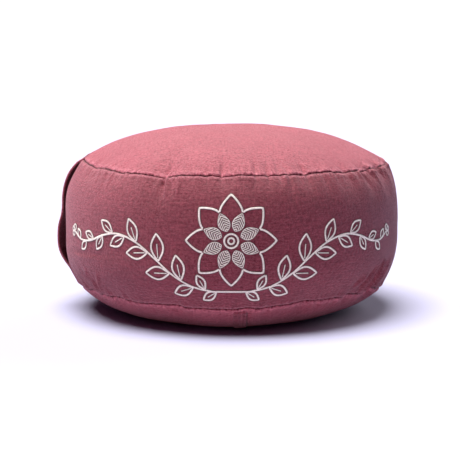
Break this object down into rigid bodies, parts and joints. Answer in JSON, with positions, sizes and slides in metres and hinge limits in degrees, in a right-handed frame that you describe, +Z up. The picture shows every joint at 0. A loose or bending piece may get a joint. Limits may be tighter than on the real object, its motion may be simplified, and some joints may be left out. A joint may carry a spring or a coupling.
{
  "type": "round meditation cushion",
  "caption": "Round filled meditation cushion with a domed top, drawn-in seams, a side band and a cloth carry strap on one side.",
  "frame": {"origin": "centre of the flat base, on the cushion's upright axis", "axes": "+Z up, -Y towards the embroidered front, -X towards the carry strap"},
  "size_m": [0.3359, 0.3305, 0.18],
  "materials": {
    "cushion_cloth": "dusty rose woven cloth with a soft sheen",
    "strap_cloth": "the same dusty rose cloth, folded and stitched",
    "embroidery_thread": "silver-white satin stitched thread"
  },
  "bodies": {
    "root": {"cushion": "cushion_cloth", "carry_strap": "strap_cloth"}
  },
  "joints": []
}
